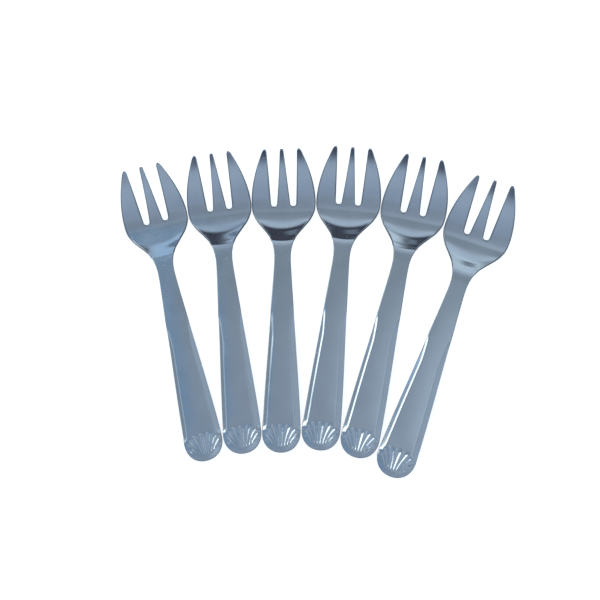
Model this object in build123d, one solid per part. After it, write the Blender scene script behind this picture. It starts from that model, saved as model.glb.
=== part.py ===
# Set of six one-piece oyster forks pressed from stainless sheet and laid side by side in a fan
# Millimetres, Z up, handle ends toward -Y, tines toward +Y, forks numbered from left to right
import os
from math import asin, cos, degrees, radians, sin, tan

from build123d import *

# Sheet and length of one fork
sheet = 1.0
fork_length = 140.0

# Handle seen from above
handle_end_width = 16.6
cap_length = 9.0
cap_fullness = 0.6
handle_mid_width = 15.1
handle_mid_at = 26.0
neck_width = 7.4
neck_at = 88.0

# Handle edge, turned down at 45 degrees and fading toward the neck
flange_width = 1.5
flange_end = 60.0
flange_end_width = 0.3
neck_edge_width = 0.1

# Head seen from above
head_width = 30.6
head_widest_at = 120.5
tip_spread = 16.8
tip_slant = 0.6

# Slots between the tines
slot_root_at = 117.5
slot_root_width = 2.6
slot_centre = 4.6
slot_mouth_inner = 0.75
slot_mouth_outer = 7.2
slot_root_radius = 1.2
tip_radius = 0.45

# Side view of the underside
neck_rise = 4.4
crease_at = 97.0
drop_angle = 31.0
bowl_radius = 12.0
seat_end = 112.0
root_bend_radius = 22.0
root_bend_angle = 30.0
tine_bend_radius = 73.0

# Shell pressed into the handle end
flutes_each_side = 4
flute_pitch = 1.45
flute_radius = 1.4
flute_depth = 0.35
flute_start = 2.0
flute_length = 10.2
flute_fan = 11.0
flute_bow = 50.0

# Fan of forks: turn of each in degrees, how far each slid along its own line, least gap between two
fan_turns = [16.0, 8.65, 1.35, -5.95, -13.25, -20.65]
fan_slides = [-0.6, -0.8, -1.6, 0.2, 0.0, -3.2]
fan_gap = 0.2

end_half = handle_end_width / 2
mid_half = handle_mid_width / 2
neck_half = neck_width / 2
head_half = head_width / 2
tip_half = tip_spread / 2
beyond = 3 * sheet
slant = sheet * sin(radians(45))
end_rise = flange_width + slant - sheet
handle_slope = (neck_rise - end_rise) / crease_at


def handle_half(y):
    # Half width of the handle at a distance from its end
    if y < handle_mid_at:
        return end_half + (mid_half - end_half) * (y - cap_length) / (handle_mid_at - cap_length)
    return mid_half + (neck_half - mid_half) * (y - handle_mid_at) / (neck_at - handle_mid_at)


def flange_at(y):
    # Width of the turned-down edge seen from above
    if y < flange_end:
        return flange_width + (flange_end_width - flange_width) * (y - cap_length) / (flange_end - cap_length)
    return flange_end_width + (neck_edge_width - flange_end_width) * (y - flange_end) / (neck_at - flange_end)


def underside(y):
    # Height of the underside of the flat top of the handle
    return end_rise + handle_slope * y


def side_face(points):
    # Upright face along the fork through points given as length and height
    return make_face(Plane.YZ * Polyline(*points, close=True))


def across(face):
    # Bar across the fork from a side face
    return extrude(face, head_half + beyond, both=True)


# Plan outline of neck and head, half drawn and mirrored
flare = head_half - neck_half
reach = head_widest_at - neck_at
tine_reach = fork_length - head_widest_at
half_head = make_face(
    Line((0, neck_at), (neck_half, neck_at))
    + Spline(
        (neck_half, neck_at),
        (neck_half + 0.35 * flare, neck_at + 0.5 * reach),
        (neck_half + 0.93 * flare, neck_at + 0.81 * reach),
        (head_half, head_widest_at),
        (tip_half + 0.55 * (head_half - tip_half), fork_length - 0.354 * tine_reach),
        (tip_half, fork_length),
        tangents=[(0, 1), (-tip_slant, 1)],
    )
    + Polyline(
        (tip_half, fork_length),
        (tip_half - tip_slant * beyond, fork_length + beyond),
        (0, fork_length + beyond),
        (0, neck_at),
    )
)
slot = make_face(
    Polyline(
        (slot_centre - slot_root_width / 2, slot_root_at),
        (slot_centre + slot_root_width / 2, slot_root_at),
        (slot_mouth_outer, fork_length),
        (slot_mouth_outer, fork_length + 2 * beyond),
        (slot_mouth_inner, fork_length + 2 * beyond),
        (slot_mouth_inner, fork_length),
        close=True,
    )
)
slot = fillet(slot.vertices().sort_by(Axis.Y)[:2], slot_root_radius)
half_head = half_head - slot
head_plan = half_head + mirror(half_head, about=Plane.YZ)


# Side strip from neck to tips: handle line, crease, drop, bowl, seat, upturned tines
def side_line(lift):
    drop = radians(drop_angle)
    slope_drop = underside(crease_at) - bowl_radius * (1 - cos(drop))
    seat_start = crease_at + slope_drop / tan(drop) + bowl_radius * sin(drop)
    bowl = bowl_radius - lift
    foot = (seat_start - bowl * sin(drop), bowl_radius - bowl * cos(drop))
    base = underside(0) + lift
    crease_y = (foot[1] + foot[0] * tan(drop) - base) / (handle_slope + tan(drop))
    turn = radians(root_bend_angle)
    root = root_bend_radius - lift
    root_top = (seat_end + root * sin(turn), root_bend_radius - root * cos(turn))
    tine_middle = seat_end + (root_bend_radius - tine_bend_radius) * sin(turn)
    tine_turn = degrees(asin((fork_length - tine_middle) / tine_bend_radius)) - root_bend_angle
    return (
        Line((neck_at, base + handle_slope * neck_at), (crease_y, base + handle_slope * crease_y))
        + Line((crease_y, base + handle_slope * crease_y), foot)
        + JernArc(foot, (cos(drop), -sin(drop)), bowl, drop_angle)
        + Line((seat_start, lift), (seat_end, lift))
        + JernArc((seat_end, lift), (1, 0), root, root_bend_angle)
        + JernArc(root_top, (cos(turn), sin(turn)), tine_bend_radius - lift, tine_turn)
    )


lower = side_line(0)
upper = side_line(sheet)
closing = Line(lower @ 0, upper @ 0) + Line(lower @ 1, upper @ 1)
strip = across(Plane.YZ * make_face(lower + upper + closing))
head = strip & extrude(head_plan, fork_length)

# Rounded corners of the three tips
tip_middle = (lower @ 1 + upper @ 1) / 2
tip_faces = head.faces().filter_by(lambda face: abs(face.center().Y - tip_middle.X) < sheet / 4)
tip_corners = tip_faces.edges().filter_by(lambda edge: abs(edge.tangent_at(0.5).X) < 0.5)
head = fillet(tip_corners, tip_radius)


# Handle in two lengths: edge turned down from the cap to the fade, flat from there to the neck
def flanged_section(y):
    half = handle_half(y)
    bend = flange_at(y)
    under = underside(y)
    top = under + sheet
    foot = top - bend - slant
    corner = half - bend - sheet * tan(radians(22.5))
    right = [(half - bend, top), (half, top - bend), (half, foot), (half - slant, foot), (corner, under)]
    left = [(-x, z) for x, z in reversed(right)]
    return Plane.XZ.offset(-y) * make_face(Polyline(*right, *left, close=True))


def flat_section(y):
    half = handle_half(y)
    bend = flange_at(y)
    under = underside(y)
    top = under + sheet
    right = [(half - bend, top), (half, top - bend), (half, under)]
    left = [(-x, z) for x, z in reversed(right)]
    return Plane.XZ.offset(-y) * make_face(Polyline(*right, *left, close=True))


flanged = loft([flanged_section(y) for y in (cap_length, handle_mid_at, flange_end)], ruled=True)
flat = loft([flat_section(y) for y in (flange_end, neck_at)], ruled=True)


# Rounded handle end with the edge turned down all round
def cap_outline(inset):
    half = end_half - inset
    length = cap_length - inset
    side = Bezier(
        (0, inset),
        (cap_fullness * half, inset),
        (half, inset + (1 - cap_fullness) * length),
        (half, cap_length),
    )
    half_face = make_face(side + Polyline((half, cap_length), (0, cap_length), (0, inset)))
    return half_face + mirror(half_face, about=Plane.YZ)


def cap_block(inset, low, lift):
    # Block under the inclined top plane of the cap
    upright = extrude(cap_outline(inset), fork_length, both=True)
    near = underside(0) + lift
    far = underside(cap_length) + lift
    return upright & across(side_face([(0, low), (cap_length, low), (cap_length, far), (0, near)]))


def top_rim(block):
    # Curved edge of the block's top, without the straight one that meets the handle
    top = block.faces().sort_by(Axis.Z)[-1]
    return top.edges().filter_by(lambda edge: edge.center().Y < 0.9 * cap_length)


cap = cap_block(0, 0, sheet)
cap = chamfer(top_rim(cap), flange_width)
hollow = cap_block(slant, -beyond, 0)
hollow = chamfer(top_rim(hollow), flange_width + slant - sheet)
cap = cap - hollow
fork = cap + flanged + flat + head

# Shell: curved flutes that fan out from the handle end and fade at both ends
flutes = []
for place in range(flutes_each_side + 1):
    away = place / flutes_each_side
    heading = radians(flute_fan * place)
    half_chord = flute_length / 2 * (1 - 0.83 * away**1.8)
    lean = radians(90 - flute_bow) if place else radians(90)
    bow = flute_depth / tan(lean)
    x = flute_pitch * place + half_chord * sin(heading) - bow * cos(heading)
    y = flute_start + 0.23 * cap_length * away**2 + half_chord * cos(heading) + bow * sin(heading)
    low_point = Vector(x, y, underside(y) + sheet + flute_radius - flute_depth)
    along = Vector(sin(heading), cos(heading), 0)
    rise = Vector(cos(heading) * cos(lean), -sin(heading) * cos(lean), sin(lean))
    ring_radius = half_chord**2 * sin(lean) / (2 * flute_depth)
    if ring_radius > 2 * flute_radius:
        ring = Plane(low_point + rise * ring_radius, x_dir=along, z_dir=along.cross(rise))
        flute = ring * Torus(ring_radius, flute_radius)
    else:
        flute = Pos(low_point) * Sphere(flute_radius)
    flutes.append(flute)
    if place:
        flutes.append(mirror(flute, about=Plane.YZ))
fork = fork - flutes

# Six copies in the fan, spaced so that neither the handle ends nor the heads of two neighbours meet
half_step = min(radians(a - b) / 2 for a, b in zip(fan_turns, fan_turns[1:]))
ends_apart = (end_half + fan_gap / 2) / sin(half_step) - cap_length
heads_apart = (head_half + fan_gap / 2) / sin(half_step) - head_widest_at
fan_radius = max(ends_apart, heads_apart)
turned = [
    Rot(0, 0, turn) * Pos(0, fan_radius + slide, 0) * fork for turn, slide in zip(fan_turns, fan_slides)
]

# The middle of the set's footprint is the origin
box = Compound(children=[Compound(copy.wrapped) for copy in turned]).bounding_box()
shift = Pos(-box.center().X, -box.center().Y, -box.min.Z)
os.makedirs("parts", exist_ok=True)
for number, copy in enumerate(turned, start=1):
    export_step(shift * copy, f"parts/fork_{number}.step")
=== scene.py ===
from math import cos, pi, radians, sin, sqrt, tan

import bmesh
import bpy
from mathutils import Matrix, Vector


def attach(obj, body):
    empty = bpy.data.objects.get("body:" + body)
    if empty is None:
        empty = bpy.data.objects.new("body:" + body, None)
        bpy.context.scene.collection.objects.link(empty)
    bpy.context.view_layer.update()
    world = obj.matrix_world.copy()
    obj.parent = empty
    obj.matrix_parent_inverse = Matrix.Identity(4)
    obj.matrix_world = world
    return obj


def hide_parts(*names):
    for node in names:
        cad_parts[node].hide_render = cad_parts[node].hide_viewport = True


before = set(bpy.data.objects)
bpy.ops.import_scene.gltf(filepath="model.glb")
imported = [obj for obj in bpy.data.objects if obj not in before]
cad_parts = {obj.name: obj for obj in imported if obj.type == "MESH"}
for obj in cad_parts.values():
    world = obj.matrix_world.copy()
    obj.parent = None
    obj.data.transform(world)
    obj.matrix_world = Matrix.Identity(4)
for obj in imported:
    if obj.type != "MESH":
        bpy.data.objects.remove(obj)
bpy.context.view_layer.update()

# The forks: six alike, each blanked from one millimetre stainless sheet and pressed to shape.
# One blank is cut, bent, given its thickness and its stamped shell, then copied to the six places.
# Lengths in this section are millimetres along a fork from its handle end, and across it.
sheet = 1.0
length = 140.0
cap_length = 9.0
cap_fullness = 0.6
end_half = 8.3

# Half width of the blank at stations along it, with the slope of the edge at each
edge_stations = [
    (9.0, 8.3, -0.02),
    (26.0, 7.62, -0.055),
    (57.0, 5.70, -0.062),
    (84.0, 4.00, -0.055),
    (90.0, 3.85, 0.03),
    (97.0, 5.00, 0.30),
    (104.25, 8.35, 0.66),
    (108.7, 11.60, 0.71),
    (114.325, 14.60, 0.33),
    (120.5, 15.3, -0.036),
    (133.1, 12.2, -0.448),
    (140.0, 8.4, -0.6),
]


def edge_half(along):
    for (a, ha, sa), (b, hb, sb) in zip(edge_stations, edge_stations[1:]):
        if along <= b:
            break
    t = min(max((along - a) / (b - a), 0.0), 1.0)
    span = b - a
    return (
        ha * (1 + 2 * t) * (1 - t) ** 2
        + sa * span * t * (1 - t) ** 2
        + hb * t * t * (3 - 2 * t)
        + sb * span * t * t * (t - 1)
    )


def ease(value, low, high):
    t = min(max((value - low) / (high - low), 0.0), 1.0)
    return t * t * (3 - 2 * t)


# Lean of the sheet along the fork in degrees: handle, crease, drop with a faint line, bowl, tines
handle_low = 2.207
height_step = 0.25
lean_stations = [
    (0.0, 1.62),
    (91.5, 1.62),
    (94.0, -1.5),
    (96.8, -8.0),
    (97.3, -8.5),
    (97.9, -23.0),
    (99.2, -23.0),
    (99.7, -15.0),
    (100.2, -15.0),
    (100.8, -24.0),
    (103.3, -24.0),
    (104.8, -15.0),
    (106.0, -11.0),
    (108.5, -6.0),
    (111.5, -1.5),
    (113.0, 0.0),
    (114.2, 4.0),
    (122.4, 29.5),
    (139.3, 46.0),
]


def lean_at(along):
    for (a, lean_a), (b, lean_b) in zip(lean_stations, lean_stations[1:]):
        if along <= b:
            break
    return radians(lean_a + (lean_b - lean_a) * (along - a) / (b - a))


def top_height(along):
    # The lean added up in short steps from the handle end
    steps = max(int(along / height_step), 1)
    pace = along / steps
    return handle_low + pace * sum(tan(lean_at(pace * (step + 0.5))) for step in range(steps))


# Edge of the handle turned down: flatter round the shell, narrower and fading toward the neck
shell_end = 13.0
shell_middle = 9.5
shell_flattening = 0.55
turned_width = 2.3
turned_lean = tan(radians(32.0))
turned_fade = (59.0, 65.0)
turned_round = 0.6
least_round = 0.4
width_loss = 0.006
narrowing = 1.0
narrowing_span = (50.0, 63.0)

# Slight crown across the flat of the handle
crown = 0.0045
crown_start = (12.0, 20.0)
crown_end = (70.0, 92.0)


def turned_drop(along, inside, across):
    # How far the top of the sheet lies below the line of the handle
    fade = 1 - ease(along, *turned_fade)
    lean = turned_lean * (1 - shell_flattening * ease(along, shell_end, shell_middle)) * fade
    round_off = turned_round * (least_round + (1 - least_round) * fade)
    wide = turned_width - width_loss * max(along - shell_end, 0.0)
    wide -= narrowing * ease(along, *narrowing_span)
    past = wide - inside
    low = crown * across**2 * ease(along, *crown_start) * (1 - ease(along, *crown_end))
    if past >= round_off:
        return low + lean * past
    if past > -round_off:
        return low + lean * (past + round_off) ** 2 / (4 * round_off)
    return low


# Rows of the blank along the fork and columns from its middle line to its edge
cap_rows = 44
row_stations = [
    (13.0, 11),
    (50.0, 20),
    (64.0, 14),
    (88.0, 12),
    (96.4, 12),
    (99.4, 18),
    (106.0, 16),
    (112.0, 9),
    (117.2, 9),
]
slot_root = 117.5
slot_bend = 1.3
slot_root_centre = 4.6
slot_mouth_inner = 0.75
slot_mouth_outer = 7.2
slot_rows = 26
middle_columns = 4
slot_columns = 10
tine_columns = 10
columns = middle_columns + slot_columns + tine_columns
edge_insets = [0.0, 0.42, 0.75, 1.05, 1.34, 1.6, 1.85, 2.1, 2.35, 2.62, 2.95]

rows = []
at = cap_length
for stop, count in row_stations:
    rows += [at + (stop - at) * step / count for step in range(count)]
    at = stop
tine_start = slot_root + slot_bend
tine_end = 139.27
rows += [at, tine_start]
tip_round = 1.1
tip_rows = 5
tip_narrowing = 0.8
tine_reach = tine_end - tip_round - tine_start
rows += [tine_start + tine_reach * (step + 1) / slot_rows for step in range(slot_rows)]
rows += [tine_end - tip_round * cos(pi / 2 * (step + 1) / tip_rows) for step in range(tip_rows)]
root_row = cap_rows + rows.index(tine_start)
full_head = 15.0
head_blend = (66.0, 110.0)
root_dip = 114.0


def handle_across(column, half):
    # Even columns in the middle, closer ones over the turned-down edge
    edge_columns = len(edge_insets) - 1
    if column >= columns - edge_columns:
        return half - edge_insets[columns - column]
    return (half - edge_insets[-1]) * column / (columns - edge_columns)


def head_across(column, along, half):
    # Columns that follow the sides of the slot
    t = (along - slot_root) / (length - slot_root)
    opened = max(t, 0.0)
    inner = slot_root_centre - slot_bend
    inner += (slot_mouth_inner - inner) * opened
    outer = slot_root_centre + slot_bend
    outer += (slot_mouth_outer - outer) * opened
    squeeze = min(1.0, half / full_head) if t < 0 else 1.0
    inner *= squeeze
    outer *= squeeze
    near_tip = max((along - tine_end + tip_round) / tip_round, 0.0)
    narrow = 0.5 * (1 - sqrt(1 - tip_narrowing * near_tip**2))
    outer, half = outer + narrow * (half - outer), half - narrow * (half - outer)
    inner -= narrow * inner
    if column <= middle_columns:
        return inner * column / middle_columns
    if column <= middle_columns + slot_columns:
        bend = pi * ((column - middle_columns) / slot_columns - 0.5)
        return (inner + outer) / 2 + (outer - inner) / 2 * sin(bend)
    return outer + (half - outer) * (column - middle_columns - slot_columns) / tine_columns


# Bow of the bend lines across the neck and bowl, which run on toward the tines away from the middle
bend_bow = 0.018
bow_start = (88.0, 96.0)
bow_end = (104.0, 113.0)


def bend_curve(across, along):
    return bend_bow * across**2 * ease(along, *bow_start) * (1 - ease(along, *bow_end))


def blank_place(column, row):
    # Place on the flat blank of one corner of the grid
    if row < cap_rows:
        t = row / cap_rows
        edge_x = end_half * (3 * cap_fullness * t * (1 - t) ** 2 + 3 * t * t * (1 - t) + t**3)
        edge_y = cap_length * (3 * (1 - cap_fullness) * t * t * (1 - t) + t**3)
        edge = Vector((edge_x, edge_y))
        share = handle_across(column, end_half) / end_half
        middle = Vector((0.0, cap_length))
        return middle + (edge - middle) * share
    along = rows[row - cap_rows]
    in_head = ease(along, *head_blend)
    curve = 0.0
    for _ in range(4):
        # The edge is read at the bowed place, which settles in a few rounds
        half = edge_half(along + curve)
        across = handle_across(column, half) * (1 - in_head)
        across += head_across(column, along, half) * in_head
        curve = bend_curve(across, along)
    dip = 0.0
    if middle_columns < column < middle_columns + slot_columns:
        bend = pi * ((column - middle_columns) / slot_columns - 0.5)
        dip = slot_bend * cos(bend) * ease(along, root_dip, tine_start)
    return Vector((across, along + curve - dip))


# Flat half blank: a grid laid to the outline, without the faces inside the slot
fork = bmesh.new()
all_rows = cap_rows + len(rows) - 1
bmesh.ops.create_grid(fork, x_segments=columns, y_segments=all_rows, size=0.5)
slot_faces = []
for face in fork.faces:
    middle = face.calc_center_median()
    column = (middle.x + 0.5) * columns
    row = (middle.y + 0.5) * all_rows
    if row > root_row and middle_columns < column < middle_columns + slot_columns:
        slot_faces.append(face)
bmesh.ops.delete(fork, geom=slot_faces, context="FACES")
insets = {}
bend_shifts = {}
for corner in fork.verts:
    column = round((corner.co.x + 0.5) * columns)
    row = round((corner.co.y + 0.5) * all_rows)
    place = blank_place(column, row)
    if row < cap_rows:
        reach = cap_length + (end_half - cap_length) * row / cap_rows
        inside = (1 - handle_across(column, end_half) / end_half) * reach
    else:
        inside = edge_half(place.y) - place.x
    insets[corner] = inside
    bend_shifts[corner] = bend_curve(place.x, rows[row - cap_rows]) if row >= cap_rows else 0.0
    corner.co = (place.x, place.y, 0.0)

# Bending in the press: handle line, turned-down edges, crease, bowl and tines
handle_stop = 90.0
seam_gap = 0.002
for corner in fork.verts:
    across, along, _ = corner.co
    corner.co.z = top_height(along - bend_shifts[corner])
    if along < handle_stop:
        corner.co.z -= turned_drop(along, insets[corner], across)
half_fork = fork.faces[:] + fork.edges[:] + fork.verts[:]
bmesh.ops.mirror(fork, geom=half_fork, axis="X", merge_dist=seam_gap)
bmesh.ops.remove_doubles(fork, verts=fork.verts, dist=seam_gap)
bmesh.ops.recalc_face_normals(fork, faces=fork.faces)
if sum(face.normal.z for face in fork.faces) < 0:
    bmesh.ops.reverse_faces(fork, faces=fork.faces)

# Thickness of the sheet; the cut edge is marked, since shearing leaves it duller than the faces,
# and its colour is painted near black as painted shade along the outline
cut_edge_dull_and_shaded = fork.verts.layers.float.new("cut edge")
for corner in fork.verts:
    corner[cut_edge_dull_and_shaded] = 1.0 if corner.is_boundary else 0.0
bmesh.ops.solidify(fork, geom=fork.faces[:], thickness=sheet)
bmesh.ops.recalc_face_normals(fork, faces=fork.faces)

# Shell stamped into the handle end: nine curved flutes that fan out like the leaves of a palm
flute_pitch = 1.05
flute_tops = [(0.0, 12.0), (3.2, 11.8), (5.5, 10.6), (6.9, 8.9), (7.3, 6.0)]
flute_feet = [1.9, 2.0, 2.3, 2.9, 4.0]
flute_slope = 0.58
foot_half = 0.48
half_growth = 0.67
flute_softness = 0.04
flute_curve = 1.5
foot_fade = (-0.4, 2.0)
top_fade = (-1.6, 0.4)
flat_enough = 0.6


def flute_cut(across, along):
    # Depth of the deepest flute at a place on the handle end
    cut = 0.0
    side = abs(across)
    for number, (top_across, top_along) in enumerate(flute_tops):
        foot_along = flute_feet[number]
        t = min(max((along - foot_along) / (top_along - foot_along), 0.0), 1.0)
        foot_across = flute_pitch * number
        line = foot_across + (top_across - foot_across) * t**flute_curve
        wide = foot_half + half_growth * t
        off = abs(side - line) / wide
        if off < 1.0:
            end = ease(along - foot_along, *foot_fade)
            end *= 1 - ease(along - top_along, *top_fade)
            flank = sqrt(1 + flute_softness) - sqrt(off * off + flute_softness)
            cut = max(cut, flute_slope * wide * end * flank)
    return cut


fork.normal_update()
for corner in fork.verts:
    if corner.co.y < shell_end and corner.normal.z > flat_enough:
        corner.co.z -= flute_cut(corner.co.x, corner.co.y)
rest_on_table = -min(corner.co.z for corner in fork.verts)
bmesh.ops.translate(fork, vec=(0.0, 0.0, rest_on_table), verts=fork.verts)

# Where the brushing of the polish runs, kept as a map across and along each fork
map_span = 100.0
brushing = fork.loops.layers.uv.new("along the fork")
for face in fork.faces:
    face.smooth = True
    for loop in face.loops:
        loop[brushing].uv = (loop.vert.co.x / map_span, loop.vert.co.y / map_span)

# Polished stainless steel: faint lengthwise brushing, uneven polish, a few specks, rougher cut
# edges painted dark as painted shade
steel = bpy.data.materials.new("polished stainless steel")
steel.use_nodes = True
nodes = steel.node_tree.nodes
links = steel.node_tree.links
shader = nodes["Principled BSDF"]
shader.inputs["Metallic"].default_value = 1.0
map_along = nodes.new("ShaderNodeUVMap")
map_along.uv_map = "along the fork"
place_in_room = nodes.new("ShaderNodeTexCoord")


def grain(stretch, scale, detail, from_map):
    # Noise laid over the steel, stretched along the fork where it follows the brushing
    spread = nodes.new("ShaderNodeMapping")
    spread.inputs["Scale"].default_value = stretch
    laid = map_along.outputs["UV"] if from_map else place_in_room.outputs["Object"]
    links.new(laid, spread.inputs["Vector"])
    noise = nodes.new("ShaderNodeTexNoise")
    noise.inputs["Scale"].default_value = scale
    noise.inputs["Detail"].default_value = detail
    links.new(spread.outputs["Vector"], noise.inputs["Vector"])
    return noise.outputs["Fac"]


def between(socket, low, high, start, stop):
    limits = nodes.new("ShaderNodeMapRange")
    limits.inputs["From Min"].default_value = low
    limits.inputs["From Max"].default_value = high
    limits.inputs["To Min"].default_value = start
    limits.inputs["To Max"].default_value = stop
    links.new(socket, limits.inputs["Value"])
    return limits.outputs["Result"]


def summed(first, second):
    plus = nodes.new("ShaderNodeMath")
    plus.operation = "ADD"
    links.new(first, plus.inputs[0])
    links.new(second, plus.inputs[1])
    return plus.outputs["Value"]


brushed = grain((60.0, 0.7, 1.0), 10.0, 4.0, True)
clouded = grain((1.0, 1.0, 1.0), 110.0, 2.0, False)
specks = grain((1.0, 1.0, 1.0), 900.0, 0.0, False)
tone = nodes.new("ShaderNodeValToRGB")
tone.color_ramp.elements[0].position = 0.3
tone.color_ramp.elements[0].color = (0.580, 0.610, 0.640, 1.0)
tone.color_ramp.elements[1].position = 0.7
tone.color_ramp.elements[1].color = (0.620, 0.650, 0.680, 1.0)
links.new(clouded, tone.inputs["Fac"])
cut_edge_dullness_and_shade = nodes.new("ShaderNodeAttribute")
cut_edge_dullness_and_shade.attribute_name = "cut edge"
# Painted shade: the cut edges get a near-black colour that stands in for the dark line along each
# fork's outline
cut_edge_painted_shade = nodes.new("ShaderNodeMix")
cut_edge_painted_shade.data_type = "RGBA"
cut_edge_painted_shade.inputs["B"].default_value = (0.09, 0.095, 0.11, 1.0)
links.new(cut_edge_dullness_and_shade.outputs["Fac"], cut_edge_painted_shade.inputs["Factor"])
links.new(tone.outputs["Color"], cut_edge_painted_shade.inputs["A"])
links.new(cut_edge_painted_shade.outputs["Result"], shader.inputs["Base Color"])
polish = summed(between(brushed, 0.35, 0.65, 0.09, 0.15), between(clouded, 0.35, 0.65, 0.0, 0.04))
polish = summed(polish, between(specks, 0.78, 0.84, 0.0, 0.15))
polish = summed(polish, between(cut_edge_dullness_and_shade.outputs["Fac"], 0.0, 1.0, 0.0, 0.3))
links.new(polish, shader.inputs["Roughness"])
relief = summed(between(brushed, 0.3, 0.7, 0.0, 0.8), between(clouded, 0.3, 0.7, 0.0, 7.0))
relief = summed(relief, between(specks, 0.80, 0.90, 0.0, 1.0))
surface = nodes.new("ShaderNodeBump")
surface.inputs["Strength"].default_value = 1.0
surface.inputs["Distance"].default_value = 0.0000008
links.new(relief, surface.inputs["Height"])
links.new(surface.outputs["Normal"], shader.inputs["Normal"])

# Each fork in its place in the fan: middle of the fork in millimetres and its turn in degrees
fork_places = [
    (-62.09, -2.12, 16.0),
    (-37.97, 2.95, 8.65),
    (-13.58, 4.28, 1.35),
    (10.95, 5.09, -5.95),
    (35.16, 0.80, -13.25),
    (57.85, -9.46, -20.65),
]
for number, (x, y, turn) in enumerate(fork_places, start=1):
    placed = fork.copy()
    place = Matrix.Translation((x / 1000, y / 1000, 0.0)) @ Matrix.Rotation(radians(turn), 4, "Z")
    place = place @ Matrix.Scale(0.001, 4) @ Matrix.Translation((0.0, -length / 2, 0.0))
    bmesh.ops.transform(placed, matrix=place, verts=placed.verts)
    mesh = bpy.data.meshes.new(f"oyster_fork_{number}")
    placed.to_mesh(mesh)
    placed.free()
    mesh.materials.append(steel)
    piece = bpy.data.objects.new(f"oyster_fork_{number}", mesh)
    bpy.context.collection.objects.link(piece)
    rounding = piece.modifiers.new("rounded edges", "SUBSURF")
    rounding.levels = 1
    rounding.render_levels = 1
    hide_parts(f"fork_{number}")
    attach(piece, f"fork_{number}")
fork.free()

# Table: a plain painted white top under the forks, with soft contact shadows.
# Camera and mirror rays see an added glow that brings it to white; the studio lights the rest.
table_half = 12.0
table_glow = 0.70
table = bmesh.new()
bmesh.ops.create_grid(table, x_segments=1, y_segments=1, size=table_half)
table_mesh = bpy.data.meshes.new("white_table")
table.to_mesh(table_mesh)
table.free()
table_top = bpy.data.objects.new("white_table", table_mesh)
bpy.context.collection.objects.link(table_top)
white = bpy.data.materials.new("white table top")
white.use_nodes = True
nodes = white.node_tree.nodes
links = white.node_tree.links
nodes.clear()
paint = nodes.new("ShaderNodeBsdfDiffuse")
paint.inputs["Color"].default_value = (0.85, 0.85, 0.85, 1.0)
glow = nodes.new("ShaderNodeEmission")
glow.inputs["Color"].default_value = (1.0, 1.0, 1.0, 1.0)
ray = nodes.new("ShaderNodeLightPath")
seen = nodes.new("ShaderNodeMath")
seen.operation = "ADD"
links.new(ray.outputs["Is Camera Ray"], seen.inputs[0])
links.new(ray.outputs["Is Glossy Ray"], seen.inputs[1])
seen_through = nodes.new("ShaderNodeMath")
seen_through.operation = "ADD"
seen_through.use_clamp = True
links.new(seen.outputs["Value"], seen_through.inputs[0])
links.new(ray.outputs["Is Transmission Ray"], seen_through.inputs[1])
level = nodes.new("ShaderNodeMath")
level.operation = "MULTIPLY"
level.inputs[1].default_value = table_glow
links.new(seen_through.outputs["Value"], level.inputs[0])
links.new(level.outputs["Value"], glow.inputs["Strength"])
both = nodes.new("ShaderNodeAddShader")
links.new(paint.outputs["BSDF"], both.inputs[0])
links.new(glow.outputs["Emission"], both.inputs[1])
table_finish = nodes.new("ShaderNodeOutputMaterial")
links.new(both.outputs["Shader"], table_finish.inputs["Surface"])
table_mesh.materials.append(white)

# Studio: a soft blue-grey room above the table, lighter toward the camera and at the right,
# with a bright window high at the back left and dark doorways low at the back and in front.
world = bpy.data.worlds.new("studio")
bpy.context.scene.world = world
world.use_nodes = True
nodes = world.node_tree.nodes
links = world.node_tree.links
backdrop = nodes["Background"]
way = nodes.new("ShaderNodeTexCoord")
parts = nodes.new("ShaderNodeSeparateXYZ")
links.new(way.outputs["Generated"], parts.inputs["Vector"])
rightward = parts.outputs["X"]
backward = parts.outputs["Y"]
upward = parts.outputs["Z"]


def height_colours(stops):
    # Colour by the height of the direction, given as sine of elevation
    ramp = nodes.new("ShaderNodeValToRGB")
    ramp.color_ramp.interpolation = "EASE"
    links.new(upward, ramp.inputs["Fac"])
    while len(ramp.color_ramp.elements) < len(stops):
        ramp.color_ramp.elements.new(0.5)
    for element, (at, colour) in zip(ramp.color_ramp.elements, stops):
        element.position = at
        element.color = (*colour, 1.0)
    return ramp


def step_over(socket, low, high):
    # Smooth step from 0 at low to 1 at high
    step = nodes.new("ShaderNodeMapRange")
    step.interpolation_type = "SMOOTHSTEP"
    step.inputs["From Min"].default_value = low
    step.inputs["From Max"].default_value = high
    links.new(socket, step.inputs["Value"])
    return step.outputs["Result"]


def product(first, second):
    times = nodes.new("ShaderNodeMath")
    times.operation = "MULTIPLY"
    links.new(first, times.inputs[0])
    links.new(second, times.inputs[1])
    return times.outputs["Value"]


def laid_over(under, over, share):
    mix = nodes.new("ShaderNodeMix")
    mix.data_type = "RGBA"
    links.new(share, mix.inputs["Factor"])
    links.new(under, mix.inputs["A"])
    if isinstance(over, tuple):
        mix.inputs["B"].default_value = (*over, 1.0)
    else:
        links.new(over, mix.inputs["B"])
    return mix.outputs["Result"]


back = height_colours([
    (0.00, (0.70, 0.87, 1.00)),
    (0.45, (0.70, 0.87, 1.00)),
    (0.58, (0.60, 0.76, 0.92)),
    (0.74, (0.54, 0.66, 0.80)),
    (0.86, (0.30, 0.37, 0.45)),
    (0.93, (0.28, 0.35, 0.42)),
    (0.965, (0.34, 0.42, 0.52)),
    (1.00, (0.29, 0.36, 0.45)),
])
front = height_colours([
    (0.00, (0.36, 0.44, 0.56)),
    (0.60, (0.42, 0.53, 0.67)),
    (0.72, (0.42, 0.53, 0.67)),
    (0.88, (0.34, 0.43, 0.56)),
    (1.00, (0.29, 0.36, 0.45)),
])
room = laid_over(back.outputs["Color"], front.outputs["Color"], step_over(backward, 0.06, -0.06))

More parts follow.
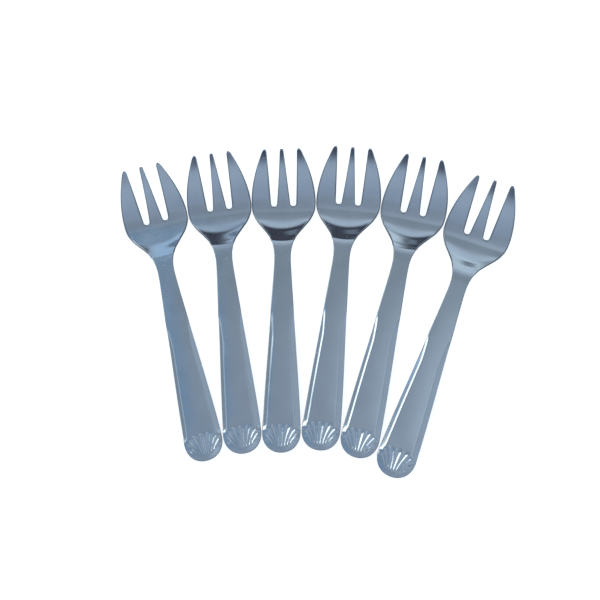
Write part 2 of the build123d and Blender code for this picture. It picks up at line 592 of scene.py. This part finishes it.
# Lighter ceiling toward the right, bluer toward the left, and a darker wall low at the left
right = product(step_over(rightward, -0.1, 0.38), step_over(upward, 0.91, 0.975))
room = laid_over(room, (0.66, 0.82, 0.98), right)
right_wall = product(step_over(rightward, 0.30, 0.60), step_over(upward, 0.92, 0.80))
room = laid_over(room, (0.40, 0.50, 0.62), right_wall)
left = product(step_over(rightward, -0.12, -0.28), step_over(upward, 0.5, 0.7))
left = product(left, step_over(backward, -0.4, -0.15))
room = laid_over(room, (0.25, 0.375, 0.54), left)
low_left = product(step_over(rightward, -0.45, -0.65), step_over(upward, 0.50, 0.36))
room = laid_over(room, (0.285, 0.37, 0.455), low_left)

# Bluer wall low at the back left, beside a dark doorway
blue_wall = product(step_over(rightward, -0.24, -0.34), step_over(upward, 0.64, 0.52))
blue_wall = product(blue_wall, step_over(backward, 0.5, 0.7))
room = laid_over(room, (0.44, 0.66, 0.93), blue_wall)
door = product(step_over(backward, 0.3, 0.5), step_over(upward, 0.68, 0.56))
door = product(door, step_over(rightward, -0.31, -0.23))
door = product(door, step_over(rightward, 0.26, 0.14))
room = laid_over(room, (0.055, 0.06, 0.085), door)

# Dark front below the camera
stand = product(step_over(backward, -0.3, -0.5), step_over(upward, 0.66, 0.57))
stand = product(stand, step_over(rightward, -0.40, -0.28))
stand = product(stand, step_over(rightward, 0.14, 0.02))
room = laid_over(room, (0.06, 0.075, 0.12), stand)

# Window at the back left
window_way = nodes.new("ShaderNodeVectorMath")
window_way.operation = "DOT_PRODUCT"
window_way.inputs[1].default_value = (-0.6106, 0.4436, 0.6561)
links.new(way.outputs["Generated"], window_way.inputs[0])
window = step_over(window_way.outputs["Value"], 0.951, 0.967)
window = product(window, step_over(backward, 0.24, 0.36))
room = laid_over(room, (1.9, 2.1, 2.15), window)
links.new(room, backdrop.inputs["Color"])

# Camera above the handles, looking down at the row
frame_pixels = 600
focal_pixels = 791.9
film_width = 36.0
eye_reach = 0.35893
eye_offset = Vector((0.005585, -0.00392, 0))
camera_data = bpy.data.cameras.new("camera")
camera = bpy.data.objects.new("camera", camera_data)
bpy.context.collection.objects.link(camera)
camera_data.sensor_width = film_width
camera_data.lens = focal_pixels / frame_pixels * film_width
camera_data.shift_x = -0.5 / frame_pixels
camera_data.shift_y = 0.5 / frame_pixels
camera_data.clip_start = 0.01
tilt = radians(-22.22)
swing = radians(-3.62)
turn_tilt = Matrix(((1, 0, 0), (0, cos(tilt), -sin(tilt)), (0, sin(tilt), cos(tilt))))
turn_swing = Matrix(((cos(swing), 0, sin(swing)), (0, 1, 0), (-sin(swing), 0, cos(swing))))
look = (turn_swing @ turn_tilt).transposed()
eye = look @ Vector((0, 0, eye_reach)) - eye_offset
camera.matrix_world = Matrix.Translation(eye) @ look.to_4x4()
bpy.context.scene.camera = camera
bpy.context.scene.view_settings.view_transform = "Standard"
